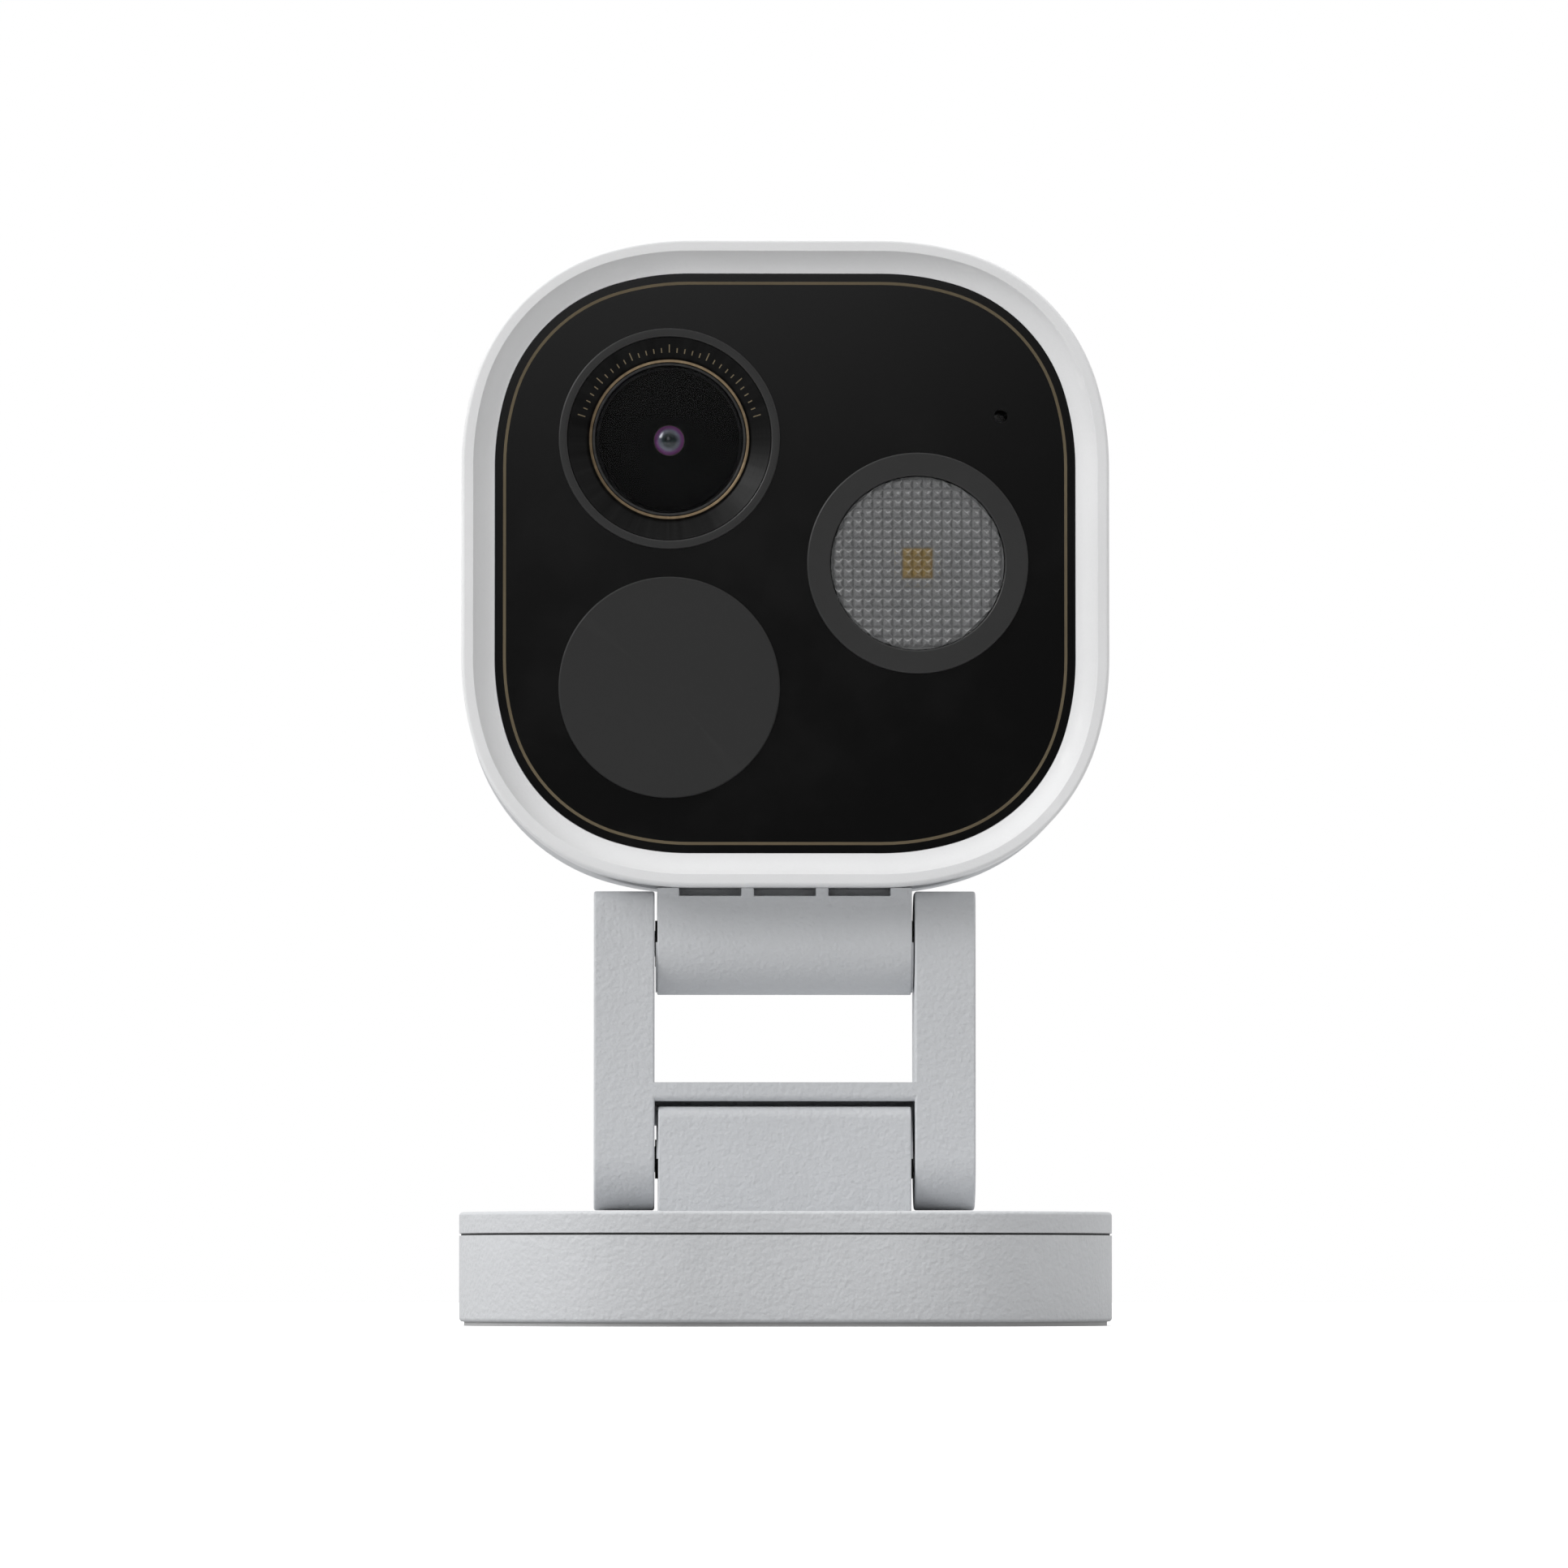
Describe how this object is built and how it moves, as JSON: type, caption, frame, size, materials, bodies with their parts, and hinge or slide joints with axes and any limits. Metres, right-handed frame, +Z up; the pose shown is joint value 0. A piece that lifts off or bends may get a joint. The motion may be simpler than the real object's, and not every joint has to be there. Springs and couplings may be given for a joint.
{
  "type": "floodlight security camera",
  "caption": "Square security camera head with a round lens, motion sensor and prismatic floodlight behind dark glass, on a two-hinge link frame and a rounded square base.",
  "frame": {"origin": "centre of the underside of the base, on the surface it stands on", "axes": "+Z up, the glass front faces -Y, +X to the right of a viewer in front"},
  "size_m": [0.0794, 0.0794, 0.1328],
  "materials": {
    "shell": "fine spark-eroded grain, satin",
    "rim": "fine grain, satin",
    "trim_dark": "smooth satin",
    "hood": "turned satin",
    "front_glass": "polished, opaque black backing",
    "lens_glass": "polished, coated",
    "clear": "clear moulded prisms",
    "gold": "satin anodised tint",
    "steel": "brushed",
    "aluminium": "plain",
    "brass": "turned",
    "rubber": "matte",
    "board": "solder mask",
    "chip": "moulded",
    "cell": "plastic sleeve over a metal can",
    "phosphor": "phosphor yellow"
  },
  "bodies": {
    "base": {"base_tub": "shell", "base_cover": "shell", "base_seal": "rubber", "base_pad": "rubber", "base_weight": "steel", "base_screws": "steel", "stand_insert": "brass", "lower_block": "shell", "lower_block_screws": "steel", "lower_sleeve": "steel", "lower_washers": "rubber"},
    "link": {"link_frame": "shell", "lower_pin": "steel", "upper_pin": "steel", "pin_caps": "shell"},
    "head": {"upper_block": "shell", "rear_shell": "shell", "front_bezel": "rim", "camera_ring": "trim_dark", "motion_lens": "trim_dark", "flood_ring": "trim_dark", "battery_tray": "trim_dark", "chassis": "trim_dark", "speaker": "trim_dark", "lens_hood": "hood", "lens_barrel": "hood", "front_glass": "front_glass", "camera_window": "lens_glass", "front_lens": "lens_glass", "inner_lenses": "lens_glass", "flood_lens": "clear", "glass_inlay": "gold", "lens_trim": "gold", "antenna": "gold", "upper_block_screws": "steel", "upper_sleeve": "steel", "lens_retainer": "steel", "head_screws": "steel", "charge_socket": "steel", "shield_can": "steel", "motion_sensor": "steel", "microphone": "steel", "heat_sink": "aluminium", "led_board": "aluminium", "glass_tape": "rubber", "mic_boot": "rubber", "head_seal": "rubber", "upper_washers": "rubber", "sensor_board": "board", "main_board": "board", "control_board": "board", "image_sensor": "chip", "board_chips": "chip", "push_switch": "chip", "battery_cells": "cell", "flood_led": "phosphor"},
    "button": {"power_button": "trim_dark"},
    "flap": {"port_flap": "rubber"}
  },
  "joints": [
    {"name": "base_hinge", "type": "hinge", "parent": "base", "child": "link", "pos_m": [0, 0, 0.0204], "axis": [1, 0, 0], "range_deg": [-35, 30]},
    {"name": "head_hinge", "type": "hinge", "parent": "link", "child": "head", "pos_m": [0, 0, 0.0469], "axis": [1, 0, 0], "range_deg": [-40, 55]},
    {"name": "power_press", "type": "slide", "parent": "head", "child": "button", "axis": [0, -1, 0], "range_m": [0, 0.0005], "stiffness_N_per_m": 600, "springref_m": -0.001},
    {"name": "flap_hinge", "type": "hinge", "parent": "head", "child": "flap", "pos_m": [0.014, 0.02545, 0.06775], "axis": [-1, 0, 0], "range_deg": [0, 100]}
  ]
}
